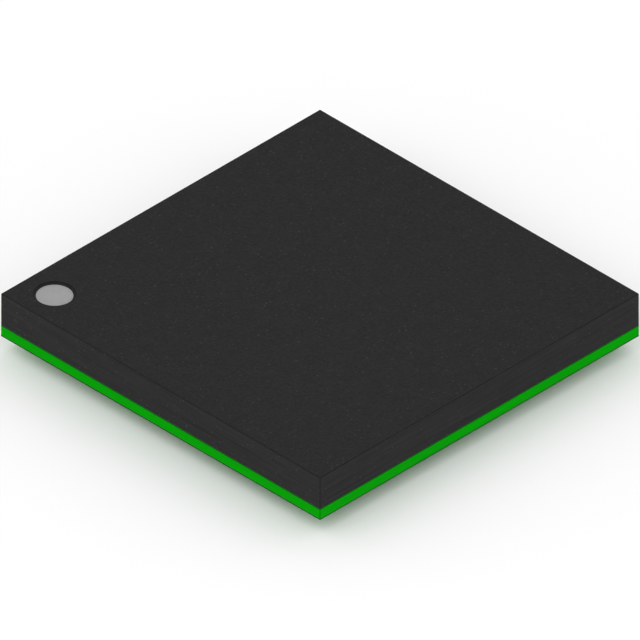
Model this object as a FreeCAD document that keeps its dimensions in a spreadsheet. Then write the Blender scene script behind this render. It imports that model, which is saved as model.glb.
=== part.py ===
import FreeCAD, Part
import math
import os
import Sketcher

# Ball grid array package, 10 mm square: a silicon die glued and wire bonded to a green
# board, moulded over in black epoxy, with solder balls under the board.
# Frame: origin on the seating plane under the middle, +Z up, row A of the balls along +Y
# and column 1 along -X, so pin 1 is at the -X +Y corner.

os.makedirs("parts", exist_ok=True)
doc = FreeCAD.newDocument("bga_chip")

# Driving dimensions, in millimetres
SIZES = (
    ("body_side", "10.0", "side of the square cap and board"),
    ("cap_height", "0.85", "mould cap, board to top"),
    ("board_thickness", "0.30", "board with its solder mask"),
    ("recess_rim", "0.92", "pin 1 recess across its rim"),
    ("ink_diameter", "0.84", "floor of the pin 1 recess and its ink disc"),
    ("recess_depth", "0.07", "pin 1 recess below the top"),
    ("recess_setback", "0.84", "middle of the recess from both edges"),
    ("ink_thickness", "0.02", "ink disc on the recess floor"),
    ("ball_pitch", "1.0", "ball to ball, both ways"),
    ("ball_diameter", "0.50", "ball across the flats of its belt"),
    ("ball_flat", "0.24", "flat under the ball"),
    ("bowl_height", "0.15", "floor to the ball's belt"),
    ("belt_height", "0.16", "the ball's widest band"),
    ("shoulder_height", "0.09", "belt to board"),
    ("pad_diameter", "0.40", "ball pad and its mask opening"),
    ("pad_thickness", "0.03", "plated copper ball pad"),
    ("die_side", "5.0", "square silicon die"),
    ("die_thickness", "0.28", "silicon die"),
    ("film_thickness", "0.03", "die attach film"),
    ("wire_thickness", "0.025", "bond wire"),
    ("wire_pitch", "0.34", "wire to wire along the die edge"),
    ("wire_corner_gap", "0.35", "die corner to its first wire, at least"),
    ("wire_inset", "0.10", "wire's first bond inside the die edge"),
    ("loop_height", "0.16", "top of the wire loop above the die"),
    ("loop_crown", "0.30", "level run at the top of the loop"),
    ("finger_setback", "0.75", "die edge to the ring of bond fingers"),
    ("finger_length", "0.40", "bond finger"),
    ("finger_width", "0.12", "bond finger"),
    ("finger_thickness", "0.02", "bond finger"),
    ("finger_corner_gap", "0.80", "corner of the ring to its first finger"),
)

# Counts and names. Balls and pads are octagonal in the model. The letters of the ball
# rows skip I, which looks like a number. Each side follows the one before it by a
# quarter turn.
BALLS_IN_ROW = 9
BALL_SIDES = 8
ROW_LETTERS = "abcdefghj"
SIDES = ("north", "west", "south", "east")

sheet = doc.addObject("Spreadsheet::Sheet", "Sizes")
for line, (alias, number, meaning) in enumerate(SIZES, 1):
    sheet.set(f"A{line}", meaning)
    sheet.set(f"B{line}", number)
    sheet.setAlias(f"B{line}", alias)
doc.recompute()

# Heights, counts and places that several pieces share
STAND_OFF = "(Sizes.bowl_height + Sizes.belt_height + Sizes.shoulder_height)"
BOARD_TOP = f"({STAND_OFF} + Sizes.board_thickness)"
DIE_ABOVE_BOARD = "(Sizes.film_thickness + Sizes.die_thickness)"
FIRST_COLUMN = f"({BALLS_IN_ROW - 1} / 2 * Sizes.ball_pitch)"
FIRST_ROW = f"({len(ROW_LETTERS) - 1} / 2 * Sizes.ball_pitch)"
MARK_FROM_MIDDLE = "(Sizes.body_side / 2 - Sizes.recess_setback)"
WIRE_COUNT = "(floor((Sizes.die_side - 2 * Sizes.wire_corner_gap) / Sizes.wire_pitch) + 1)"
FINGER_RING = "(Sizes.die_side / 2 + Sizes.finger_setback)"
FINGER_SPAN = f"(2 * ({FINGER_RING} - Sizes.finger_corner_gap))"
FINGER_PITCH = f"({FINGER_SPAN} / ({WIRE_COUNT} - 1))"
FINGER_MIDDLE = f"({FINGER_RING} + Sizes.finger_length / 2)"


def measure(expression):
    """Work an expression of the sheet out to a number."""
    return float(sheet.evalExpression(expression))


def new_body(label):
    """Start a piece made of sketched features."""
    body = doc.addObject("PartDesign::Body", label)
    body.Label = label
    body.AllowCompound = True
    return body


def place(piece, x="0", y="0", z="0", quarter_turns=0):
    """Tie a piece's place to the sheet, turned about the middle of the package."""
    turn = FreeCAD.Rotation(FreeCAD.Vector(0, 0, 1), 90 * quarter_turns)
    piece.Placement = FreeCAD.Placement(FreeCAD.Vector(0, 0, 0), turn)
    piece.setExpression(".Placement.Base.x", x)
    piece.setExpression(".Placement.Base.y", y)
    piece.setExpression(".Placement.Base.z", z)


def origin_part(body, role):
    """Find a plane or an axis of the body's own origin."""
    for datum in body.Origin.OriginFeatures:
        if datum.Role == role:
            return datum
    raise LookupError(role)


def new_sketch(body, name, height="0", plane="XY_Plane"):
    """Lay a sketch on a plane of the body's own origin, or at a height above it."""
    sketch = body.newObject("Sketcher::SketchObject", name)
    sketch.AttachmentSupport = [(origin_part(body, plane), "")]
    sketch.MapMode = "FlatFace"
    sketch.setExpression(".AttachmentOffset.Base.z", height)
    return sketch


def bind(sketch, label, constraint, expression):
    """Add a dimension to a sketch and tie it to the sheet."""
    row = sketch.addConstraint(Sketcher.Constraint(*constraint, measure(expression)))
    sketch.renameConstraint(row, label)
    sketch.setExpression(f"Constraints.{label}", expression)


def closed_outline(sketch, corners):
    """Draw straight edges through the corners, join their ends and number the first."""
    first = sketch.GeometryCount
    for start, end in zip(corners, corners[1:] + corners[:1]):
        sketch.addGeometry(Part.LineSegment(start, end), False)
    for edge in range(len(corners)):
        following = (edge + 1) % len(corners)
        ends = ("Coincident", first + edge, 2, first + following, 1)
        sketch.addConstraint(Sketcher.Constraint(*ends))
    return first


def rectangle(body, name, width, depth, middle_x="0", middle_y="0"):
    """Sketch an upright rectangle about its middle."""
    sketch = new_sketch(body, name)
    half_width = measure(width) / 2
    half_depth = measure(depth) / 2
    middle = FreeCAD.Vector(measure(middle_x), measure(middle_y), 0)
    corners = []
    for x_sign, y_sign in ((-1, -1), (1, -1), (1, 1), (-1, 1)):
        corners.append(middle + FreeCAD.Vector(x_sign * half_width, y_sign * half_depth, 0))
    closed_outline(sketch, corners)
    sketch.addGeometry(Part.Point(middle), True)
    for edge in (0, 2):
        sketch.addConstraint(Sketcher.Constraint("Horizontal", edge))
    for edge in (1, 3):
        sketch.addConstraint(Sketcher.Constraint("Vertical", edge))
    sketch.addConstraint(Sketcher.Constraint("Symmetric", 0, 1, 2, 1, 4, 1))
    bind(sketch, "width", ("DistanceX", 0, 1, 0, 2), width)
    bind(sketch, "depth", ("DistanceY", 1, 1, 1, 2), depth)
    bind(sketch, "middle_x", ("DistanceX", -1, 1, 4, 1), middle_x)
    bind(sketch, "middle_y", ("DistanceY", -1, 1, 4, 1), middle_y)
    return sketch


def circle(body, name, diameter):
    """Sketch a circle about the body's Z axis."""
    sketch = new_sketch(body, name)
    ring = Part.Circle(FreeCAD.Vector(0, 0, 0), FreeCAD.Vector(0, 0, 1), measure(diameter) / 2)
    sketch.addGeometry(ring, False)
    sketch.addConstraint(Sketcher.Constraint("Coincident", 0, 3, -1, 1))
    bind(sketch, "diameter", ("Diameter", 0), diameter)
    return sketch


def octagon(body, name, across_flats):
    """Sketch a regular polygon about the body's Z axis, one flat facing -X."""
    sketch = new_sketch(body, name)
    across_corners = f"{across_flats} / cos(180deg / {BALL_SIDES})"
    radius = measure(across_corners) / 2
    corners = []
    for corner in range(BALL_SIDES):
        angle = math.pi * (1 + (2 * corner + 1) / BALL_SIDES)
        corners.append(FreeCAD.Vector(math.cos(angle), math.sin(angle), 0) * radius)
    closed_outline(sketch, corners)
    ring = Part.Circle(FreeCAD.Vector(0, 0, 0), FreeCAD.Vector(0, 0, 1), radius)
    sketch.addGeometry(ring, True)
    sketch.addConstraint(Sketcher.Constraint("Coincident", BALL_SIDES, 3, -1, 1))
    for edge in range(BALL_SIDES):
        sketch.addConstraint(Sketcher.Constraint("PointOnObject", edge, 1, BALL_SIDES))
    for edge in range(1, BALL_SIDES):
        sketch.addConstraint(Sketcher.Constraint("Equal", 0, edge))
    sketch.addConstraint(Sketcher.Constraint("Vertical", BALL_SIDES - 1))
    bind(sketch, "across_corners", ("Diameter", BALL_SIDES), across_corners)
    return sketch


def facet_triangle(sketch, label, x, z, inset, rise):
    """Draw the wedge that one facet takes off a corner of the prism's side view."""
    left = measure(x)
    level = measure(z)
    corners = [
        FreeCAD.Vector(left, level, 0),
        FreeCAD.Vector(left + measure(inset), level, 0),
        FreeCAD.Vector(left, level + measure(rise), 0),
    ]
    edge = closed_outline(sketch, corners)
    sketch.addConstraint(Sketcher.Constraint("Horizontal", edge))
    sketch.addConstraint(Sketcher.Constraint("Vertical", edge + 2))
    bind(sketch, label + "_x", ("DistanceX", -1, 1, edge, 1), x)
    bind(sketch, label + "_z", ("DistanceY", -1, 1, edge, 1), z)
    bind(sketch, label + "_inset", ("DistanceX", edge, 1, edge, 2), inset)
    bind(sketch, label + "_rise", ("DistanceY", edge, 1, edge + 2, 1), rise)


def pad(body, sketch, length, name):
    """Raise a sketch into the body."""
    feature = body.newObject("PartDesign::Pad", name)
    feature.Profile = sketch
    feature.setExpression("Length", length)
    body.Tip = feature
    return feature


def row_of(original, label, count, pitch):
    """Repeat another body's shape along X in a body of its own."""
    body = new_body(label)
    body.BaseFeature = original
    doc.recompute()
    pattern = body.newObject("PartDesign::LinearPattern", label + "_pattern")
    pattern.TransformMode = "Whole shape"
    pattern.Direction = (origin_part(body, "X_Axis"), [""])
    pattern.Mode = "Spacing"
    body.Tip = pattern
    pattern.setExpression("Offset", pitch)
    pattern.setExpression("Occurrences", str(count))
    return body


def square_plate(label, side, thickness, floor):
    """Make a square plate about the package's middle."""
    body = new_body(label)
    outline = rectangle(body, label + "_outline", side, side)
    pad(body, outline, thickness, label + "_pad")
    place(body, z=floor)
    return body


def solder_ball():
    """Make one reflowed ball in facets: bowl, belt, and a shoulder up to the pad."""
    body = new_body("solder_ball")
    outline = octagon(body, "belt_outline", "Sizes.ball_diameter")
    pad(body, outline, STAND_OFF, "belt")
    side_view = new_sketch(body, "side_view", plane="XZ_Plane")
    belt_x = "-Sizes.ball_diameter / 2"
    bowl_inset = "(Sizes.ball_diameter - Sizes.ball_flat) / 2"
    shoulder_inset = "(Sizes.ball_diameter - Sizes.pad_diameter) / 2"
    facet_triangle(side_view, "bowl", belt_x, "0", bowl_inset, "Sizes.bowl_height")
    facet_triangle(
        side_view, "shoulder", belt_x, STAND_OFF, shoulder_inset, "-Sizes.shoulder_height"
    )
    facet = body.newObject("PartDesign::Pocket", "facet")
    facet.Profile = side_view
    facet.Midplane = True
    facet.setExpression("Length", "Sizes.ball_diameter")
    body.Tip = facet
    facets = body.newObject("PartDesign::PolarPattern", "facets")
    facets.Originals = [facet]
    facets.Axis = (origin_part(body, "Z_Axis"), [""])
    facets.Angle = 360
    body.Tip = facets
    facets.Occurrences = BALL_SIDES
    return body


def ball_pad():
    """Make one plated copper pad."""
    body = new_body("ball_pad")
    pad(body, octagon(body, "pad_outline", "Sizes.pad_diameter"), "Sizes.pad_thickness", "copper")
    return body


def bond_finger():
    """Make one plated bond finger, the first of the north side."""
    body = new_body("bond_finger")
    width = "Sizes.finger_width"
    first_x = f"-{FINGER_SPAN} / 2"
    outline = rectangle(
        body, "finger_outline", width, "Sizes.finger_length", first_x, FINGER_MIDDLE
    )
    pad(body, outline, "Sizes.finger_thickness", "finger")
    return body


def bond_wire(start, end):
    """Make one wire: up off the die, level over the crown, then down to its finger."""
    half = measure("Sizes.wire_thickness / 2")
    die_top = measure(DIE_ABOVE_BOARD)
    top = die_top + measure("Sizes.loop_height") - half
    run = (end - start).Length
    lean = (run - measure("Sizes.loop_crown")) / top
    foot = half * math.hypot(1, lean)
    side_view = (
        (-half, die_top),
        (-half, top + half),
        (run + foot - lean * (top + half), top + half),
        (run + foot, 0),
        (run - foot, 0),
        (run - foot - lean * (top - half), top - half),
        (half, top - half),
        (half, die_top),
    )
    corners = [FreeCAD.Vector(reach, -half, height) for reach, height in side_view]
    face = Part.Face(Part.makePolygon(corners + corners[:1]))
    wire = face.extrude(FreeCAD.Vector(0, 2 * half, 0))
    heading = FreeCAD.Rotation(FreeCAD.Vector(1, 0, 0), end - start)
    wire.Placement = FreeCAD.Placement(start, heading)
    return wire


def bond_wire_row(side, quarter_turns):
    """Make one side's gold wires, which fan out from the die to the fingers."""
    count = round(measure(WIRE_COUNT))
    die_y = measure("Sizes.die_side / 2 - Sizes.wire_inset")
    finger_y = measure(FINGER_MIDDLE)
    wires = []
    for wire in range(count):
        steps = wire - (count - 1) / 2
        start = FreeCAD.Vector(steps * measure("Sizes.wire_pitch"), die_y, 0)
        end = FreeCAD.Vector(steps * measure(FINGER_PITCH), finger_y, 0)
        wires.append(bond_wire(start, end))
    row = doc.addObject("Part::Feature", "bond_wires_" + side)
    row.Label = "bond_wires_" + side
    row.Shape = Part.makeCompound(wires)
    place(row, z=BOARD_TOP, quarter_turns=quarter_turns)
    return row


def pin_one_mark():
    """Make the ink disc that fills the floor of the pin 1 recess."""
    body = new_body("pin_one_mark")
    outline = circle(body, "ink_outline", "Sizes.ink_diameter")
    pad(body, outline, "Sizes.ink_thickness", "ink_pad")
    floor = f"{BOARD_TOP} + Sizes.cap_height - Sizes.recess_depth"
    place(body, x="-" + MARK_FROM_MIDDLE, y=MARK_FROM_MIDDLE, z=floor)
    return body


def pin_one_recess(block):
    """Turn the recess out of the cap: a round dish with a sloping wall and a flat floor."""
    outline = new_sketch(block, "recess_outline", "-" + MARK_FROM_MIDDLE, "XZ_Plane")
    outline.setExpression(".AttachmentOffset.Base.x", "-" + MARK_FROM_MIDDLE)
    floor = "Sizes.cap_height - Sizes.recess_depth"
    floor_radius = "Sizes.ink_diameter / 2"
    rim_radius = "Sizes.recess_rim / 2"
    corners = [
        FreeCAD.Vector(0, measure(floor), 0),
        FreeCAD.Vector(measure(floor_radius), measure(floor), 0),
        FreeCAD.Vector(measure(rim_radius), measure("Sizes.cap_height"), 0),
        FreeCAD.Vector(0, measure("Sizes.cap_height"), 0),
    ]
    closed_outline(outline, corners)
    outline.addConstraint(Sketcher.Constraint("Horizontal", 0))
    outline.addConstraint(Sketcher.Constraint("Horizontal", 2))
    outline.addConstraint(Sketcher.Constraint("Vertical", 3))
    outline.addConstraint(Sketcher.Constraint("PointOnObject", 0, 1, -2))
    bind(outline, "floor", ("DistanceY", -1, 1, 0, 1), floor)
    bind(outline, "depth", ("DistanceY", 3, 2, 3, 1), "Sizes.recess_depth")
    bind(outline, "floor_radius", ("DistanceX", 0, 1, 0, 2), floor_radius)
    bind(outline, "rim_radius", ("DistanceX", 2, 2, 2, 1), rim_radius)
    recess = block.newObject("PartDesign::Groove", "recess")
    recess.Profile = outline
    recess.ReferenceAxis = (outline, ["V_Axis"])
    recess.Angle = 360
    block.Tip = recess


def mould_cap(encapsulated):
    """Make the cap: a sawn block with the pin 1 recess, cast around what it covers."""
    block = square_plate("cap_block", "Sizes.body_side", "Sizes.cap_height", BOARD_TOP)
    pin_one_recess(block)
    contents = doc.addObject("Part::MultiFuse", "cap_contents")
    contents.Shapes = encapsulated
    cap = doc.addObject("Part::Cut", "mould_cap")
    cap.Base = block
    cap.Tool = contents
    return cap


def substrate(copper):
    """Make the board: a panel with room for the copper let into both of its faces."""
    panel = square_plate("board_panel", "Sizes.body_side", "Sizes.board_thickness", STAND_OFF)
    inlay = doc.addObject("Part::Compound", "board_copper")
    inlay.Links = copper
    board = doc.addObject("Part::Cut", "substrate")
    board.Base = panel
    board.Tool = inlay
    return board


def write_nodes(nodes):
    """Check every object of the document, then write each piece to its own file."""
    doc.recompute()
    for item in doc.Objects:
        if "Invalid" in item.State or "Error" in item.State:
            raise RuntimeError(f"{item.Label} did not recompute")
    for node in nodes:
        if node.Shape.isNull() or not node.Shape.isValid():
            raise RuntimeError(f"{node.Label} has no valid shape")
    for node in nodes:
        node.Shape.exportStep(f"parts/{node.Label}.step")


ball = solder_ball()
copper = ball_pad()
balls = []
ball_pads = []
for row, letter in enumerate(ROW_LETTERS):
    row_y = f"{FIRST_ROW} - {row} * Sizes.ball_pitch"
    ball_row = row_of(ball, "solder_balls_row_" + letter, BALLS_IN_ROW, "Sizes.ball_pitch")
    place(ball_row, x="-" + FIRST_COLUMN, y=row_y)
    balls.append(ball_row)
    pad_row = row_of(copper, "ball_pads_row_" + letter, BALLS_IN_ROW, "Sizes.ball_pitch")
    place(pad_row, x="-" + FIRST_COLUMN, y=row_y, z=STAND_OFF)
    ball_pads.append(pad_row)

finger = bond_finger()
fingers = []
wires = []
for turns, side in enumerate(SIDES):
    finger_row = row_of(finger, "bond_fingers_" + side, WIRE_COUNT, FINGER_PITCH)
    place(finger_row, z=f"{BOARD_TOP} - Sizes.finger_thickness", quarter_turns=turns)
    fingers.append(finger_row)
    wires.append(bond_wire_row(side, turns))

film = square_plate("die_attach_film", "Sizes.die_side", "Sizes.film_thickness", BOARD_TOP)
die_floor = f"{BOARD_TOP} + Sizes.film_thickness"
die = square_plate("silicon_die", "Sizes.die_side", "Sizes.die_thickness", die_floor)

board = substrate(ball_pads + fingers)
cap = mould_cap([film, die] + wires)
write_nodes([cap, pin_one_mark(), die, film, board] + wires + fingers + ball_pads + balls)
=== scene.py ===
import math

import bmesh
import bpy
from mathutils import Matrix, Vector


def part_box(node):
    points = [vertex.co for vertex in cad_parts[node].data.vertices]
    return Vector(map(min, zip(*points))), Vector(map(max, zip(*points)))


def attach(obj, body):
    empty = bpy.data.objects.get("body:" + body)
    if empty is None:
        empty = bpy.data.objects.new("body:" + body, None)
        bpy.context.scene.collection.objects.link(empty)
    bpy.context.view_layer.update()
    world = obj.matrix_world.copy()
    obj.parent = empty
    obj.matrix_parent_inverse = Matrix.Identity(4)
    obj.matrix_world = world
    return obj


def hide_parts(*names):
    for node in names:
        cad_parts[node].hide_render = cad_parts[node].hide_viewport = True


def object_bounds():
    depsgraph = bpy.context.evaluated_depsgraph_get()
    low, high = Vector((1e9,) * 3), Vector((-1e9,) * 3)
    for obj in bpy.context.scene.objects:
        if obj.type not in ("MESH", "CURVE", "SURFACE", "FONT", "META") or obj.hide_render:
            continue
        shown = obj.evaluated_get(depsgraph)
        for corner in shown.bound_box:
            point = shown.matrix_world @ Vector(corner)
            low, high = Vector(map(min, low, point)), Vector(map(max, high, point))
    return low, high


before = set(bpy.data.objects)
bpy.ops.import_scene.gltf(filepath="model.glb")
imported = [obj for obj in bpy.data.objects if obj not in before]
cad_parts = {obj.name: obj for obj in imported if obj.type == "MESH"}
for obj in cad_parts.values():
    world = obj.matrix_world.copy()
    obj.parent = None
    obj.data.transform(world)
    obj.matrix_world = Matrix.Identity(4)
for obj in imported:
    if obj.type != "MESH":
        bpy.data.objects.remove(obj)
cad_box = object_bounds()

# Studio
# The part stands on a sheet of thin white paper in soft light from all round, and two
# broad lamps set its faces apart. The view is true isometric, over one corner.
VIEW_TURN = math.radians(-45)
VIEW_RISE = math.atan(math.sin(math.radians(45)))
VIEW_WIDTH = 0.014187
TOP_ABOVE_MIDDLE = 0.000585
CAMERA_DISTANCE = 0.08
SHEET_HALF = 0.4
SHEET_WHITE = (0.985, 0.985, 0.985, 1)
SHEET_SHOWS_THROUGH = 0.30
SKY_LEVEL = 0.90
KEY_LAMP = {"place": Vector((-0.14, 0.03, 0.17)), "side": 0.16, "power": 0.075}
FILL_LAMP = {"place": Vector((0.05, -0.17, 0.12)), "side": 0.20, "power": 0.030}


def add_node(tree, kind, inputs=(), **settings):
    """Put a node in a tree, with its settings and its filled or linked sockets."""
    node = tree.nodes.new(kind)
    for setting, value in settings.items():
        setattr(node, setting, value)
    for socket, value in dict(inputs).items():
        if isinstance(value, bpy.types.NodeSocket):
            tree.links.new(value, node.inputs[socket])
        else:
            node.inputs[socket].default_value = value
    return node


def work_out(tree, operation, first, second=0.0):
    """Put two numbers of a tree together by a sum, a limit or a test."""
    return add_node(tree, "ShaderNodeMath", {0: first, 1: second}, operation=operation).outputs[0]


def new_finish(name):
    """Start a material, and give it with its tree and its shader."""
    finish = bpy.data.materials.new(name)
    finish.use_nodes = True
    return finish, finish.node_tree, finish.node_tree.nodes["Principled BSDF"]


def white_sheet():
    """Matt white paper, clear from below.

    It lets light through to the underside of the part, on the last step before the eye
    alone, so that the part's shadow on it stays grey.
    """
    finish, tree, shader = new_finish("white_sheet")
    shader.inputs["Base Color"].default_value = SHEET_WHITE
    shader.inputs["Roughness"].default_value = 1
    shader.inputs["Specular IOR Level"].default_value = 0
    clear = add_node(tree, "ShaderNodeBsdfTransparent")
    depth = add_node(tree, "ShaderNodeLightPath").outputs["Ray Depth"]
    last_step = work_out(tree, "COMPARE", depth, 1.0)
    through = work_out(tree, "MULTIPLY", last_step, SHEET_SHOWS_THROUGH)
    below = add_node(tree, "ShaderNodeNewGeometry").outputs["Backfacing"]
    share = work_out(tree, "MAXIMUM", through, below)
    parts = {0: share, 1: shader.outputs[0], 2: clear.outputs[0]}
    both = add_node(tree, "ShaderNodeMixShader", parts)
    tree.links.new(both.outputs[0], tree.nodes["Material Output"].inputs["Surface"])
    return finish


def lay_the_sheet():
    """Lay the paper that the part stands on."""
    bm = bmesh.new()
    bmesh.ops.create_grid(bm, x_segments=1, y_segments=1, size=SHEET_HALF)
    mesh = bpy.data.meshes.new("sheet")
    bm.to_mesh(mesh)
    bm.free()
    mesh.materials.append(white_sheet())
    sheet = bpy.data.objects.new("sheet", mesh)
    bpy.context.scene.collection.objects.link(sheet)


def whiten_the_room():
    """Light the part evenly from all round, and show plain white behind it."""
    world = bpy.data.worlds.new("white_room")
    world.use_nodes = True
    bpy.context.scene.world = world
    tree = world.node_tree
    path = add_node(tree, "ShaderNodeLightPath").outputs
    seen = work_out(tree, "MAXIMUM", path["Is Camera Ray"], path["Is Glossy Ray"])
    seen = work_out(tree, "MAXIMUM", seen, path["Is Transmission Ray"])
    level = add_node(tree, "ShaderNodeMapRange", {"Value": seen, "To Min": SKY_LEVEL})
    background = tree.nodes["Background"]
    background.inputs["Color"].default_value = (1, 1, 1, 1)
    tree.links.new(level.outputs[0], background.inputs["Strength"])


def hang_lamp(name, place, side, power):
    """Hang a broad soft lamp that faces the part."""
    light = bpy.data.lights.new(name, "AREA")
    light.size = side
    light.energy = power
    lamp = bpy.data.objects.new(name, light)
    lamp.location = place
    lamp.rotation_mode = "QUATERNION"
    lamp.rotation_quaternion = place.to_track_quat("Z", "Y")
    bpy.context.scene.collection.objects.link(lamp)


def set_the_camera():
    """Look at the part from the drawing's side, without perspective."""
    flat = math.cos(VIEW_RISE)
    away = Vector((math.sin(VIEW_TURN) * flat, -math.cos(VIEW_TURN) * flat, math.sin(VIEW_RISE)))
    turn = away.to_track_quat("Z", "Y")
    aim = Vector((0, 0, cad_box[1].z)) - turn @ Vector((0, TOP_ABOVE_MIDDLE, 0))
    lens = bpy.data.cameras.new("isometric")
    lens.type = "ORTHO"
    lens.ortho_scale = VIEW_WIDTH
    lens.clip_start = 0.001
    lens.clip_end = 1
    camera = bpy.data.objects.new("isometric", lens)
    camera.location = aim + away * CAMERA_DISTANCE
    camera.rotation_mode = "QUATERNION"
    camera.rotation_quaternion = turn
    bpy.context.scene.collection.objects.link(camera)
    bpy.context.scene.camera = camera


bpy.context.scene.view_settings.view_transform = "Standard"
lay_the_sheet()
whiten_the_room()
hang_lamp("key_lamp", **KEY_LAMP)
hang_lamp("fill_lamp", **FILL_LAMP)
set_the_camera()

# Mould cap
# Black epoxy compound, full of fine silica, moulded over the die and its wires. The mould
# leaves a fine matt grain on top, and the saw that parts the panel leaves level marks on
# the four sides. The round recess with its sloping wall is the print of an ejector pin.
TOLERANCE = 1e-5
CAP_EDGE = 0.010
RIM_RADIUS = 0.46
RECESS_LIP = 0.012
RECESS_SIDES = 96
RECESS_APRON = 0.05
# Place and width of the dark ring painted round the recess rim.
RIM_LINE_OUT = 0.008
RIM_LINE_THIN = 0.000020
RIM_LINE_WIDE = 0.000034
SPECKS_PER_METRE = 11000
# Width and unevenness of the dark line painted along the cap's and the laminate's edges.
EDGE_LINE = {"Reach": 0.000044, "Wobbles per metre": 9000}
SAW_MARK_STRETCH = (0.03, 0.03, 1)
UPRIGHT_BELOW = 0.5
COMPOUND_DARK = (0.0066, 0.0066, 0.0068, 1)
COMPOUND_LIGHT = (0.0142, 0.0142, 0.0142, 1)
# Painted light: the sawn sides, with their saw marks, are coloured lighter than the top, to make
# up for the less light that falls on them.
SAWN_PAINTED_LIGHTER_DARK = (0.0101, 0.0099, 0.0102, 1)
SAWN_PAINTED_LIGHTER_LIGHT = (0.0190, 0.0188, 0.0188, 1)
SILICA_GREY = (0.040, 0.040, 0.039, 1)
# Black, painted as a dark line along the cap's edges and round its recess.
EDGE_LINE_BLACK = (0.0012, 0.0012, 0.0012, 1)


def corners_mm(node):
    """Give a model piece's lowest and highest corners in millimetres."""
    low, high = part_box(node)
    return low * 1000, high * 1000


def add_block(bm, low, high):
    """Add an upright block between two corners."""
    size = high - low
    place = Matrix.Translation((low + high) / 2) @ Matrix.Diagonal((*size, 1))
    bmesh.ops.create_cube(bm, size=1, matrix=place)


def soften(bm, edges, width, steps):
    """Round edges off."""
    bmesh.ops.bevel(
        bm,
        geom=edges,
        offset=width,
        offset_type="OFFSET",
        segments=steps,
        profile=0.5,
        affect="EDGES",
        clamp_overlap=True,
        material=-1,
    )


def finish_piece(bm, name, finish, node, crease=10):
    """Close a piece drawn in millimetres, and fix it to the part in a node's place."""
    bmesh.ops.remove_doubles(bm, verts=bm.verts, dist=TOLERANCE)
    bmesh.ops.recalc_face_normals(bm, faces=bm.faces)
    bmesh.ops.scale(bm, vec=(0.001, 0.001, 0.001), verts=bm.verts)
    mesh = bpy.data.meshes.new(name)
    bm.to_mesh(mesh)
    bm.free()
    mesh.shade_smooth()
    mesh.set_sharp_from_angle(angle=math.radians(crease))
    mesh.materials.append(finish)
    piece = bpy.data.objects.new(name, mesh)
    bpy.context.scene.collection.objects.link(piece)
    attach(piece, "root")
    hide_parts(node)


def new_group(name, inputs, outputs):
    """Start a shader node group with float sockets, and give it with its two ends."""
    group = bpy.data.node_groups.new(name, "ShaderNodeTree")
    for socket in inputs:
        group.interface.new_socket(socket, in_out="INPUT", socket_type="NodeSocketFloat")
    for socket in outputs:
        group.interface.new_socket(socket, in_out="OUTPUT", socket_type="NodeSocketFloat")
    return group, group.nodes.new("NodeGroupInput"), group.nodes.new("NodeGroupOutput")


def noise_mask(tree, place, scale, detail, roughness):
    """Noise, spread so that it runs all the way from 0 to 1."""
    inputs = {"Vector": place, "Scale": scale, "Detail": detail, "Roughness": roughness}
    noise = add_node(tree, "ShaderNodeTexNoise", inputs).outputs["Fac"]
    spread = {"Value": noise, "From Min": 0.3, "From Max": 0.7}
    return add_node(tree, "ShaderNodeMapRange", spread).outputs[0]


def grain_group():
    """Fine grain and broad clouding, which every finish of the part has."""
    group, given, result = new_group(
        "surface_grain", ("Fine per metre", "Broad per metre"), ("Fine", "Broad")
    )
    place = add_node(group, "ShaderNodeTexCoord").outputs["Object"]
    for name, detail in (("Fine", 3), ("Broad", 2)):
        scale = given.outputs[name + " per metre"]
        mask = noise_mask(group, place, scale, detail, roughness=0.6)
        group.links.new(mask, result.inputs[name])
    return group


def saw_group():
    """Level marks of the dicing saw on the package's four sides."""
    group, given, result = new_group("saw_marks", ("Marks per metre",), ("Side", "Marks"))
    place = add_node(group, "ShaderNodeTexCoord").outputs["Object"]
    stretch = {"Vector": place, "Scale": SAW_MARK_STRETCH}
    drawn_out = add_node(group, "ShaderNodeMapping", stretch).outputs[0]
    marks = noise_mask(group, drawn_out, given.outputs[0], detail=3, roughness=0.7)
    facing = add_node(group, "ShaderNodeNewGeometry").outputs["Normal"]
    upwards = add_node(group, "ShaderNodeSeparateXYZ", {0: facing}).outputs["Z"]
    side = work_out(group, "LESS_THAN", work_out(group, "ABSOLUTE", upwards), UPRIGHT_BELOW)
    group.links.new(side, result.inputs["Side"])
    group.links.new(marks, result.inputs["Marks"])
    return group


def edge_group():
    """Uneven dark line painted along a block's edges, where its sides meet each other and its top.
    """
    group, given, result = new_group(
        "dark_edge_lines", ("Half side", "Top", "Reach", "Wobbles per metre"), ("Edge",)
    )
    place = add_node(group, "ShaderNodeTexCoord").outputs["Object"]
    along = add_node(group, "ShaderNodeSeparateXYZ", {0: place}).outputs
    from_sides = []
    for axis in ("X", "Y"):
        out = work_out(group, "ABSOLUTE", along[axis])
        from_sides.append(work_out(group, "SUBTRACT", given.outputs["Half side"], out))
    from_top = work_out(group, "SUBTRACT", given.outputs["Top"], along["Z"])
    nearer = work_out(group, "MINIMUM", *from_sides)
    farther = work_out(group, "MAXIMUM", *from_sides)
    from_edge = work_out(group, "MAXIMUM", nearer, work_out(group, "MINIMUM", farther, from_top))
    line_wobble = add_node(
        group,
        "ShaderNodeTexNoise",
        {"Vector": place, "Scale": given.outputs["Wobbles per metre"], "Detail": 2},
    )
    reach = work_out(group, "MULTIPLY", given.outputs["Reach"], line_wobble.outputs["Fac"])
    # The painted dark line: full at the edge, gone at its reach.
    worn = add_node(
        group,
        "ShaderNodeMapRange",
        {"Value": from_edge, "From Max": reach, "To Min": 1, "To Max": 0},
    )
    group.links.new(worn.outputs[0], result.inputs["Edge"])
    return group


surface_grain = grain_group()
saw_marks = saw_group()
dark_edge_lines = edge_group()


def use_group(tree, group, values):
    """Place a group in a finish with its own values, and give its outputs."""
    return add_node(tree, "ShaderNodeGroup", node_tree=group, inputs=values).outputs


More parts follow.
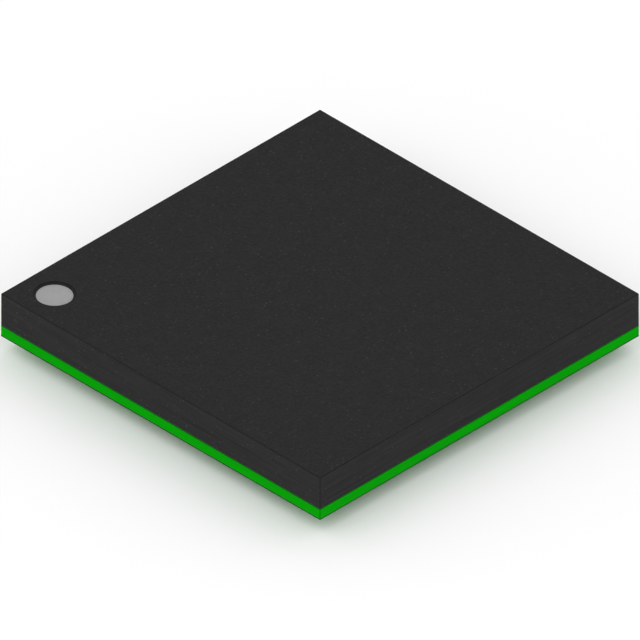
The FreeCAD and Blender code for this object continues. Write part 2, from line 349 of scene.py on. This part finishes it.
def between(tree, amount, low, high):
    """Run from one number to another as a mask goes from 0 to 1."""
    node = add_node(tree, "ShaderNodeMapRange", {"Value": amount, "To Min": low, "To Max": high})
    return node.outputs[0]


def blend(tree, amount, first, second):
    """Go from one colour to another as a mask goes from 0 to 1."""
    inputs = {0: amount, 6: first, 7: second}
    return add_node(tree, "ShaderNodeMix", inputs, data_type="RGBA").outputs[2]


def choose(tree, amount, first, second):
    """Go from one mask to another as a third goes from 0 to 1."""
    return add_node(tree, "ShaderNodeMix", {0: amount, 2: first, 3: second}).outputs[0]


def relief(tree, shader, height, depth):
    """Raise a finish's surface by a height mask of so many metres."""
    bump = add_node(tree, "ShaderNodeBump", {"Height": height, "Distance": depth, "Strength": 1})
    tree.links.new(bump.outputs[0], shader.inputs["Normal"])


def ring_mask(tree, place, middle, radius, reach):
    """Mask a ring about an upright axis, full at its radius and gone at its reach."""
    level = {"Vector": place, "Location": (-middle.x, -middle.y, 0), "Scale": (1, 1, 0)}
    flat = add_node(tree, "ShaderNodeMapping", level).outputs[0]
    out = add_node(tree, "ShaderNodeVectorMath", {0: flat}, operation="LENGTH").outputs["Value"]
    away = work_out(tree, "ABSOLUTE", work_out(tree, "SUBTRACT", out, radius))
    fading = {"Value": away, "From Max": reach, "To Min": 1, "To Max": 0}
    return add_node(tree, "ShaderNodeMapRange", fading).outputs[0]


def moulding_compound(half_side, top, recess_middle):
    """Matt black compound: moulded grain, sawn sides painted lighter, painted dark edges, silica
    specks.
    """
    finish, tree, shader = new_finish("moulding_compound")
    grain = use_group(tree, surface_grain, {"Fine per metre": 15000, "Broad per metre": 2500})
    saw = use_group(tree, saw_marks, {"Marks per metre": 16000})
    corner = {"Half side": half_side, "Top": top}
    # A dark line is painted along the cap's edges.
    edge = use_group(tree, dark_edge_lines, corner | EDGE_LINE)["Edge"]
    place = add_node(tree, "ShaderNodeTexCoord").outputs["Object"]
    # A dark ring is painted round the recess rim, in the edge line's black.
    rim_radius = (RIM_RADIUS + RIM_LINE_OUT) / 1000
    rim_reach = between(tree, grain["Broad"], low=RIM_LINE_THIN, high=RIM_LINE_WIDE)
    rim = ring_mask(tree, place, recess_middle, rim_radius, rim_reach)
    edge = work_out(tree, "MAXIMUM", edge, rim)
    surface = choose(tree, saw["Side"], grain["Fine"], saw["Marks"])
    cells = add_node(tree, "ShaderNodeTexVoronoi", {"Vector": place, "Scale": SPECKS_PER_METRE})
    few = add_node(tree, "ShaderNodeSeparateColor", {0: cells.outputs["Color"]}).outputs[0]
    # A third of the cells have a reach below nothing, and so no speck.
    reach = between(tree, few, low=-0.10, high=0.20)
    speck = work_out(tree, "LESS_THAN", cells.outputs["Distance"], reach)
    moulded = blend(tree, grain["Fine"], COMPOUND_DARK, COMPOUND_LIGHT)
    # The sides are painted lighter than the top here, to make up for their lesser light.
    sawn = blend(tree, saw["Marks"], SAWN_PAINTED_LIGHTER_DARK, SAWN_PAINTED_LIGHTER_LIGHT)
    colour = blend(tree, saw["Side"], moulded, sawn)
    colour = blend(tree, speck, colour, SILICA_GREY)
    tree.links.new(blend(tree, edge, colour, EDGE_LINE_BLACK), shader.inputs["Base Color"])
    roughness = between(tree, grain["Broad"], low=0.60, high=0.65)
    tree.links.new(roughness, shader.inputs["Roughness"])
    shader.inputs["Specular IOR Level"].default_value = 0.13
    relief(tree, shader, surface, depth=3.0e-6)
    return finish


def ring_around(bm, edges, middle, scale, drop=0):
    """Draw a loop out to a new one, scaled about its middle and dropped, and give that."""
    drawn = bmesh.ops.extrude_edge_only(bm, edges=edges)["geom"]
    verts = [item for item in drawn if isinstance(item, bmesh.types.BMVert)]
    bmesh.ops.scale(bm, vec=(scale, scale, 1), verts=verts, space=middle.inverted())
    bmesh.ops.translate(bm, vec=(0, 0, -drop), verts=verts)
    loose = set(verts)
    edges = [item for item in drawn if isinstance(item, bmesh.types.BMEdge)]
    return [edge for edge in edges if loose.issuperset(edge.verts)]


def mould_cap():
    """Draw the block, its recess and their softened edges."""
    low, high = corners_mm("mould_cap")
    ink_low, ink_high = corners_mm("pin_one_mark")
    floor_radius = (ink_high.x - ink_low.x) / 2
    centre = (ink_low + ink_high) / 2
    middle = Matrix.Translation((centre.x, centre.y, high.z))
    bm = bmesh.new()
    add_block(bm, low, high)
    soften(bm, bm.edges[:], CAP_EDGE, steps=2)
    top = max(bm.faces, key=lambda face: face.calc_center_median().z)
    outline = top.edges[:]
    bmesh.ops.delete(bm, geom=[top], context="FACES_ONLY")
    apron = RIM_RADIUS + RECESS_APRON
    circle = bmesh.ops.create_circle(bm, segments=RECESS_SIDES, radius=apron, matrix=middle)
    circle = list({edge for vert in circle["verts"] for edge in vert.link_edges})
    bmesh.ops.triangle_fill(bm, edges=outline + circle, use_beauty=True)
    rim = ring_around(bm, circle, middle, RIM_RADIUS / apron)
    floor = ring_around(bm, rim, middle, floor_radius / RIM_RADIUS, high.z - ink_low.z)
    bmesh.ops.edgeloop_fill(bm, edges=floor)
    soften(bm, rim, RECESS_LIP, steps=3)
    return bm


cap_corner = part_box("mould_cap")[1]
mark_low, mark_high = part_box("pin_one_mark")
compound = moulding_compound(cap_corner.x, cap_corner.z, (mark_low + mark_high) / 2)
finish_piece(mould_cap(), "cap", compound, "mould_cap")

# Pin 1 mark
# Matt grey ink, dropped into the recess so that it wets the whole floor and dries with a
# rounded rim against the wall.
INK_RIM = 0.008
INK_GRAIN_SHARE = 0.35
INK_GREY = (0.288, 0.288, 0.288, 1)
INK_PALE = (0.331, 0.331, 0.329, 1)


def mark_ink():
    """Grey ink, faintly uneven where it dried."""
    finish, tree, shader = new_finish("mark_ink")
    grain = use_group(tree, surface_grain, {"Fine per metre": 30000, "Broad per metre": 6000})
    uneven = choose(tree, INK_GRAIN_SHARE, grain["Broad"], grain["Fine"])
    tree.links.new(blend(tree, uneven, INK_GREY, INK_PALE), shader.inputs["Base Color"])
    roughness = between(tree, grain["Broad"], low=0.5, high=0.65)
    tree.links.new(roughness, shader.inputs["Roughness"])
    shader.inputs["Specular IOR Level"].default_value = 0.3
    relief(tree, shader, uneven, depth=1.0e-6)
    return finish


def ink_disc():
    """Draw the disc with its rounded rim."""
    low, high = corners_mm("pin_one_mark")
    radius = (high.x - low.x) / 2
    bm = bmesh.new()
    bmesh.ops.create_cone(
        bm,
        cap_ends=True,
        segments=RECESS_SIDES,
        radius1=radius,
        radius2=radius,
        depth=high.z - low.z,
        matrix=Matrix.Translation((low + high) / 2),
    )
    rim = [edge for edge in bm.edges if all(vert.co.z > high.z - TOLERANCE for vert in edge.verts)]
    soften(bm, rim, INK_RIM, steps=3)
    return bm


finish_piece(ink_disc(), "pin_1_ink", mark_ink(), "pin_one_mark")

# Board
# Green laminate of glass plies pressed in resin, under solder mask on both faces, all sawn
# through with the cap. The mask below leaves each ball pad bare and rises over the lands,
# tracks and vias. The mask above leaves the ring of bond fingers bare.
PLIES = 3
PLY_SEAM = 0.004
PLY_GROOVE = 0.003
BOARD_EDGE = 0.006
BALLS_IN_ROW = 9
PAD_SIDES = 24
LAND_RADIUS = 0.262
VIA_RADIUS = 0.15
VIA_SIDES = 16
VIA_DIMPLE = 0.06
VIA_FLOOR = 0.003
TRACK_WIDTH = 0.085
TRACK_END = 0.03
TRACK_ROUND = 0.0096
MASK_RISE = 0.012
MASK_LIP = 0.004
FINGER_CLEARANCE = 0.05
SAWN_MASK_ROUGHNESS = 0.8
LAMINATE_GREEN = (0.0004, 0.312, 0.0005, 1)
LAMINATE_PALE = (0.0008, 0.374, 0.0010, 1)
# Darker green, painted as a line along the laminate's edges.
LAMINATE_EDGE_LINE = (0.0006, 0.120, 0.0007, 1)
MASK_SAWN = (0.0005, 0.040, 0.0006, 1)
MASK_GREEN = (0.0030, 0.262, 0.0034, 1)
MASK_DEEP = (0.0024, 0.222, 0.0030, 1)
OVER_COPPER = (0.0120, 0.345, 0.0080, 1)
OVER_COPPER_DEEP = (0.0090, 0.305, 0.0060, 1)

board_low, board_high = corners_mm("substrate")
pad_low, pad_high = corners_mm("ball_pads_row_a")
finger_low, finger_high = corners_mm("bond_fingers_north")
pad_radius = (pad_high.y - pad_low.y) / 2
ball_pitch = (pad_high.x - pad_low.x - 2 * pad_radius) / (BALLS_IN_ROW - 1)
core_low = Vector((board_low.x, board_low.y, pad_high.z))
core_high = Vector((board_high.x, board_high.y, finger_low.z))


def laminate(half_side, top):
    """Sawn laminate, with the cut ends of its glass along the sides."""
    finish, tree, shader = new_finish("laminate")
    grain = use_group(tree, surface_grain, {"Fine per metre": 26000, "Broad per metre": 900})
    saw = use_group(tree, saw_marks, {"Marks per metre": 24000})
    corner = {"Half side": half_side, "Top": top}
    # A dark line is painted along the laminate's edges.
    edge = use_group(tree, dark_edge_lines, corner | EDGE_LINE)["Edge"]
    glass = choose(tree, saw["Side"], grain["Fine"], saw["Marks"])
    colour = blend(tree, glass, LAMINATE_GREEN, LAMINATE_PALE)
    tree.links.new(blend(tree, edge, colour, LAMINATE_EDGE_LINE), shader.inputs["Base Color"])
    tree.links.new(between(tree, glass, low=0.45, high=0.6), shader.inputs["Roughness"])
    shader.inputs["Specular IOR Level"].default_value = 0.015
    relief(tree, shader, glass, depth=2.0e-6)
    return finish


def solder_mask(name, deep, bright):
    """Glossy green mask with the ripple it cures with, darker where it is cut."""
    finish, tree, shader = new_finish(name)
    grain = use_group(tree, surface_grain, {"Fine per metre": 9000, "Broad per metre": 1800})
    side = use_group(tree, saw_marks, {"Marks per metre": 24000})["Side"]
    colour = blend(tree, grain["Broad"], deep, bright)
    tree.links.new(blend(tree, side, colour, MASK_SAWN), shader.inputs["Base Color"])
    cured = between(tree, grain["Fine"], low=0.24, high=0.36)
    roughness = choose(tree, side, cured, SAWN_MASK_ROUGHNESS)
    tree.links.new(roughness, shader.inputs["Roughness"])
    shader.inputs["Specular IOR Level"].default_value = 0.25
    relief(tree, shader, grain["Fine"], depth=1.5e-6)
    return finish


def pressed_core():
    """Draw the laminate, worn back a little along the seams between its plies."""
    bm = bmesh.new()
    add_block(bm, core_low, core_high)
    rises = [abs(edge.verts[0].co.z - edge.verts[1].co.z) for edge in bm.edges]
    upright = [edge for edge, rise in zip(bm.edges, rises) if rise > TOLERANCE]
    soften(bm, upright, BOARD_EDGE, steps=2)
    worn = (core_high.x - PLY_GROOVE) / core_high.x
    for ply in range(1, PLIES):
        seam = core_low.z + (core_high.z - core_low.z) * ply / PLIES
        for level in (seam - PLY_SEAM, seam + PLY_SEAM, seam):
            cut = bmesh.ops.bisect_plane(
                bm,
                geom=bm.verts[:] + bm.edges[:] + bm.faces[:],
                dist=TOLERANCE,
                plane_co=(0, 0, level),
                plane_no=(0, 0, 1),
            )["geom_cut"]
        middle = [item for item in cut if isinstance(item, bmesh.types.BMVert)]
        bmesh.ops.scale(bm, vec=(worn, worn, 1), verts=middle)
    return bm


def ball_places():
    """Give the middle of each ball, row by row from the pin 1 side."""
    first = (BALLS_IN_ROW - 1) / 2 * ball_pitch
    for row in range(BALLS_IN_ROW):
        for column in range(BALLS_IN_ROW):
            yield Vector((column * ball_pitch - first, first - row * ball_pitch, 0))


def lay_copies(pattern, places):
    """Draw one small shape again at each of many places."""
    drawn = bpy.data.meshes.new("pattern")
    pattern.to_mesh(drawn)
    pattern.free()
    bm = bmesh.new()
    for place in places:
        copy = drawn.copy()
        copy.transform(place)
        bm.from_mesh(copy)
        bpy.data.meshes.remove(copy)
    bpy.data.meshes.remove(drawn)
    return bm


def thicken(bm, height):
    """Give flat faces a thickness upwards, with their first side kept below."""
    raised = bmesh.ops.extrude_face_region(bm, geom=bm.faces[:], use_keep_orig=True)["geom"]
    raised = [item for item in raised if isinstance(item, bmesh.types.BMVert)]
    bmesh.ops.translate(bm, vec=(0, 0, height), verts=raised)


def mask_below():
    """Draw the mask under the board, with its round openings."""
    bm = bmesh.new()
    level = Matrix.Translation((0, 0, board_low.z))
    bmesh.ops.create_grid(bm, x_segments=1, y_segments=1, size=board_high.x, matrix=level)
    bmesh.ops.delete(bm, geom=bm.faces[:], context="FACES_ONLY")
    for place in ball_places():
        opening = level @ Matrix.Translation(place)
        bmesh.ops.create_circle(bm, segments=PAD_SIDES, radius=pad_radius, matrix=opening)
    bmesh.ops.triangle_fill(bm, edges=bm.edges[:], use_beauty=True, normal=(0, 0, -1))
    thicken(bm, core_low.z - board_low.z)
    return bm


def mask_above():
    """Draw the mask on top of the board, in two plates with the fingers between them."""
    bm = bmesh.new()
    level = Matrix.Translation((0, 0, core_high.z))
    for size in (finger_high.y + FINGER_CLEARANCE, board_high.x):
        bmesh.ops.create_grid(bm, x_segments=1, y_segments=1, size=size, matrix=level)
    bmesh.ops.delete(bm, geom=bm.faces[:], context="FACES_ONLY")
    bmesh.ops.bridge_loops(bm, edges=bm.edges[:])
    inner = finger_low.y - FINGER_CLEARANCE
    bmesh.ops.create_grid(bm, x_segments=1, y_segments=1, size=inner, matrix=level)
    thicken(bm, board_high.z - core_high.z)
    return bm


def turn_outline(bm, place, outline, steps):
    """Turn (radius, height) points about an upright axis, closed unless they start on it."""
    verts = [bm.verts.new(place + Vector((radius, 0, height))) for radius, height in outline]
    pairs = list(zip(verts, verts[1:]))
    if outline[0][0] > 0:
        pairs.append((verts[-1], verts[0]))
    edges = [bm.edges.new(pair) for pair in pairs]
    bmesh.ops.spin(
        bm,
        geom=verts + edges,
        cent=place,
        axis=(0, 0, 1),
        angle=math.tau,
        steps=steps,
        use_merge=True,
    )


def mask_over_copper():
    """Draw the raised mask: a land round each ball, its track, and its filled via."""
    face = board_low.z
    proud = face - MASK_RISE
    inside = face + MASK_RISE
    land = (
        (pad_radius, inside),
        (pad_radius, proud + MASK_LIP),
        (pad_radius + MASK_LIP, proud),
        (LAND_RADIUS - MASK_RISE, proud),
        (LAND_RADIUS, face),
        (LAND_RADIUS, inside),
    )
    via = (
        (0, face - VIA_FLOOR),
        (VIA_DIMPLE - MASK_RISE, face - VIA_FLOOR),
        (VIA_DIMPLE, proud),
        (VIA_RADIUS - MASK_RISE, proud),
        (VIA_RADIUS, face),
        (VIA_RADIUS, inside),
        (0, inside),
    )
    to_via = ball_pitch * math.sqrt(0.5)
    bm = bmesh.new()
    low = Vector((LAND_RADIUS - TRACK_END, -TRACK_WIDTH / 2, proud))
    high = Vector((to_via - VIA_RADIUS + TRACK_END, TRACK_WIDTH / 2, inside))
    add_block(bm, low, high)
    along = [edge for edge in bm.edges if edge.calc_length() > high.x - low.x - TOLERANCE]
    soften(bm, [edge for edge in along if edge.verts[0].co.z < face], TRACK_ROUND, steps=2)
    turn_outline(bm, Vector((0, 0, 0)), land, PAD_SIDES)
    turn_outline(bm, Vector((to_via, 0, 0)), via, VIA_SIDES)
    places = []
    for place in ball_places():
        outwards = math.atan2(math.copysign(1, place.y), math.copysign(1, place.x))
        places.append(Matrix.Translation(place) @ Matrix.Rotation(outwards, 4, "Z"))
    return lay_copies(bm, places)


core_finish = laminate(core_high.x / 1000, core_high.z / 1000)
flat_mask = solder_mask("mask_on_resin", MASK_DEEP, MASK_GREEN)
raised_mask = solder_mask("mask_on_copper", OVER_COPPER_DEEP, OVER_COPPER)
for drawn, name, finish, crease in (
    (pressed_core(), "board_laminate", core_finish, 10),
    (mask_below(), "mask_below", flat_mask, 35),
    (mask_above(), "mask_above", flat_mask, 35),
    (mask_over_copper(), "mask_over_copper", raised_mask, 35),
):
    finish_piece(drawn, name, finish, "substrate", crease=crease)

# Ball pads
# Round copper pads, plated with nickel and gold and etched with a slightly rounded rim.
# Each fills the bottom of its opening in the mask.
ROWS = "abcdefghj"
PAD_RIM = 0.004
GOLD = (0.80, 0.52, 0.18, 1)
GOLD_WORN = (0.68, 0.42, 0.14, 1)


def plated_gold():
    """Thin bright gold over nickel."""
    finish, tree, shader = new_finish("plated_gold")
    grain = use_group(tree, surface_grain, {"Fine per metre": 60000, "Broad per metre": 5000})
    tree.links.new(blend(tree, grain["Broad"], GOLD_WORN, GOLD), shader.inputs["Base Color"])
    tree.links.new(between(tree, grain["Fine"], low=0.2, high=0.34), shader.inputs["Roughness"])
    shader.inputs["Metallic"].default_value = 1
    relief(tree, shader, grain["Fine"], depth=0.5e-6)
    return finish


def ball_pad(thickness):
    """Draw one pad about its middle."""
    bm = bmesh.new()
    bmesh.ops.create_cone(
        bm,
        cap_ends=True,
        segments=PAD_SIDES,
        radius1=pad_radius,
        radius2=pad_radius,
        depth=thickness,
    )
    rims = [edge for edge in bm.edges if edge.verts[0].co.z * edge.verts[1].co.z > 0]
    soften(bm, rims, PAD_RIM, steps=2)
    return bm


def along_the_row(middle):
    """Give the places of a row's nine pieces, from column 1."""
    for column in range(BALLS_IN_ROW):
        step = (column - (BALLS_IN_ROW - 1) / 2) * ball_pitch
        yield Matrix.Translation(middle + Vector((step, 0, 0)))


gold = plated_gold()
for letter in ROWS:
    node = "ball_pads_row_" + letter
    low, high = corners_mm(node)
    middle = Vector((0, (low.y + high.y) / 2, (low.z + high.z) / 2))
    bm = lay_copies(ball_pad(high.z - low.z), along_the_row(middle))
    finish_piece(bm, "pads_row_" + letter, gold, node, crease=35)

# Solder balls
# Tin and silver solder spheres, reflowed onto the pads, where the mask's opening leaves
# each a round neck. They cool with a satin skin and shallow ripples.
BALL_SIDES = 28
BALL_RINGS = 16
SOLDER_BRIGHT = (0.83, 0.83, 0.82, 1)
SOLDER_DULL = (0.66, 0.66, 0.66, 1)


def solder():
    """Satin solder with faint ripples and duller patches."""
    finish, tree, shader = new_finish("solder")
    grain = use_group(tree, surface_grain, {"Fine per metre": 16000, "Broad per metre": 4200})
    colour = blend(tree, grain["Broad"], SOLDER_DULL, SOLDER_BRIGHT)
    tree.links.new(colour, shader.inputs["Base Color"])
    tree.links.new(between(tree, grain["Broad"], low=0.34, high=0.22), shader.inputs["Roughness"])
    shader.inputs["Metallic"].default_value = 1
    relief(tree, shader, grain["Fine"], depth=1.6e-6)
    return finish


def ball(radius, height):
    """Draw one ball, cut off level where it meets its pad."""
    bm = bmesh.new()
    bmesh.ops.create_uvsphere(
        bm,
        u_segments=BALL_SIDES,
        v_segments=BALL_RINGS,
        radius=radius,
        matrix=Matrix.Translation((0, 0, radius)),
    )
    cut = bmesh.ops.bisect_plane(
        bm,
        geom=bm.verts[:] + bm.edges[:] + bm.faces[:],
        dist=TOLERANCE,
        plane_co=(0, 0, height),
        plane_no=(0, 0, 1),
        clear_outer=True,
    )["geom_cut"]
    rim = [item for item in cut if isinstance(item, bmesh.types.BMEdge)]
    bmesh.ops.edgeloop_fill(bm, edges=rim)
    return bm


solder_skin = solder()
for letter in ROWS:
    node = "solder_balls_row_" + letter
    low, high = corners_mm(node)
    middle = Vector((0, (low.y + high.y) / 2, low.z))
    bm = lay_copies(ball((high.y - low.y) / 2, high.z - low.z), along_the_row(middle))
    finish_piece(bm, "balls_row_" + letter, solder_skin, node, crease=35)

# Bond wires
# Fine gold wire. Each starts in a ball pressed onto a die pad, rises, runs out in a loop,
# and ends in a flat stitch on its bond finger.
SIDES = ("north", "west", "south", "east")
WIRES_IN_SIDE = 13
WIRE_RADIUS = 0.0125
WIRE_PITCH = 0.34
WIRE_INSET = 0.10
FINGER_WIDTH = 0.12
LOOP_CROWN = 0.30
LOOP_LEAN = 0.02
NECK = 0.05
FALL_MIDDLE = 0.72
FALL_BELLY = 0.04
LANDING_HEIGHT = 0.03
BALL_BOND = Vector((0.035, 0.035, 0.007))
STITCH = Vector((0.045, 0.022, 0.005))

die_high = corners_mm("silicon_die")[1]
wire_crest = corners_mm("bond_wires_north")[1].z - WIRE_RADIUS
finger_pitch = (finger_high.x - finger_low.x - FINGER_WIDTH) / (WIRES_IN_SIDE - 1)


def wire_ends():
    """Give where each wire of the north side starts on the die and ends on its finger."""
    for wire in range(WIRES_IN_SIDE):
        steps = wire - (WIRES_IN_SIDE - 1) / 2
        start = Vector((steps * WIRE_PITCH, die_high.y - WIRE_INSET, die_high.z))
        end = Vector((steps * finger_pitch, (finger_low.y + finger_high.y) / 2, board_high.z))
        yield start, end


def wire_route(start, end):
    """Lay one wire's points: up from its ball, level over the crown, and down."""
    flat = (end - start).to_2d()
    side_view = (
        (0, start.z + BALL_BOND.z),
        (0, wire_crest - NECK),
        (LOOP_LEAN, wire_crest),
        (LOOP_CROWN / 2, wire_crest),
        (LOOP_CROWN, wire_crest),
        (flat.length * FALL_MIDDLE, (wire_crest + end.z) / 2 + FALL_BELLY),
        (flat.length - NECK, end.z + LANDING_HEIGHT),
        (flat.length, end.z + WIRE_RADIUS),
    )
    for reach, height in side_view:
        place = start.to_2d() + flat.normalized() * reach
        yield place.x, place.y, height, 1


def looped_wires():
    """Draw the north side's wires as smooth tubes."""
    line = bpy.data.curves.new("wire_lines", "CURVE")
    line.dimensions = "3D"
    line.bevel_depth = WIRE_RADIUS
    line.bevel_resolution = 1
    line.resolution_u = 3
    line.use_fill_caps = True
    for start, end in wire_ends():
        route = list(wire_route(start, end))
        spline = line.splines.new("NURBS")
        spline.points.add(len(route) - 1)
        for point, place in zip(spline.points, route):
            point.co = place
        spline.order_u = 3
        spline.use_endpoint_u = True
    carrier = bpy.data.objects.new("wire_lines", line)
    bpy.context.scene.collection.objects.link(carrier)
    seen = carrier.evaluated_get(bpy.context.evaluated_depsgraph_get())
    mesh = bpy.data.meshes.new_from_object(seen)
    bm = bmesh.new()
    bm.from_mesh(mesh)
    bpy.data.objects.remove(carrier)
    bpy.data.curves.remove(line)
    bpy.data.meshes.remove(mesh)
    return bm


def press_gold(bm, middle, half_sizes, heading):
    """Draw gold pressed flat onto a pad, longest along its wire's heading."""
    turn = Matrix.Rotation(math.atan2(heading.y, heading.x), 4, "Z")
    place = Matrix.Translation(middle) @ turn @ Matrix.Diagonal((*half_sizes, 1))
    bmesh.ops.create_uvsphere(bm, u_segments=12, v_segments=8, radius=1, matrix=place)


def wire_side(quarter_turns):
    """Draw one side's wires, with the ball bond and the stitch that each ends in."""
    bm = looped_wires()
    for start, end in wire_ends():
        press_gold(bm, start + Vector((0, 0, BALL_BOND.z)), BALL_BOND, end - start)
        press_gold(bm, end + Vector((0, 0, STITCH.z)), STITCH, end - start)
    turn = Matrix.Rotation(quarter_turns * math.pi / 2, 3, "Z")
    bmesh.ops.rotate(bm, cent=(0, 0, 0), matrix=turn, verts=bm.verts)
    return bm


def drawn_gold():
    """Bright drawn wire."""
    finish, tree, shader = new_finish("drawn_gold")
    grain = use_group(tree, surface_grain, {"Fine per metre": 120000, "Broad per metre": 20000})
    tree.links.new(blend(tree, grain["Broad"], GOLD_WORN, GOLD), shader.inputs["Base Color"])
    tree.links.new(between(tree, grain["Fine"], low=0.16, high=0.28), shader.inputs["Roughness"])
    shader.inputs["Metallic"].default_value = 1
    relief(tree, shader, grain["Fine"], depth=0.3e-6)
    return finish


wire_gold = drawn_gold()
for turns, side in enumerate(SIDES):
    node = "bond_wires_" + side
    finish_piece(wire_side(turns), "wires_" + side, wire_gold, node, crease=35)
    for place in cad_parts["bond_fingers_" + side].material_slots:
        place.material = gold

# Die and its film
# Polished silicon, grey with a faint blue, on a cured layer of silver grey attach paste
# that holds it to the board.
SILICON_GREY = (0.16, 0.17, 0.19, 1)
SILICON_BLUE = (0.20, 0.21, 0.25, 1)
FILM_GREY = (0.40, 0.40, 0.38, 1)
FILM_PALE = (0.52, 0.52, 0.50, 1)


def silicon():
    """Ground and polished silicon."""
    finish, tree, shader = new_finish("silicon")
    grain = use_group(tree, surface_grain, {"Fine per metre": 50000, "Broad per metre": 1200})
    colour = blend(tree, grain["Broad"], SILICON_GREY, SILICON_BLUE)
    tree.links.new(colour, shader.inputs["Base Color"])
    tree.links.new(between(tree, grain["Fine"], low=0.12, high=0.22), shader.inputs["Roughness"])
    shader.inputs["Metallic"].default_value = 0.6
    relief(tree, shader, grain["Fine"], depth=0.2e-6)
    return finish


def attach_film():
    """Resin filled with silver flakes."""
    finish, tree, shader = new_finish("attach_film")
    grain = use_group(tree, surface_grain, {"Fine per metre": 45000, "Broad per metre": 2500})
    tree.links.new(blend(tree, grain["Fine"], FILM_GREY, FILM_PALE), shader.inputs["Base Color"])
    tree.links.new(between(tree, grain["Broad"], low=0.45, high=0.6), shader.inputs["Roughness"])
    relief(tree, shader, grain["Fine"], depth=1.0e-6)
    return finish


for node, finish in (("silicon_die", silicon()), ("die_attach_film", attach_film())):
    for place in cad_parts[node].material_slots:
        place.material = finish
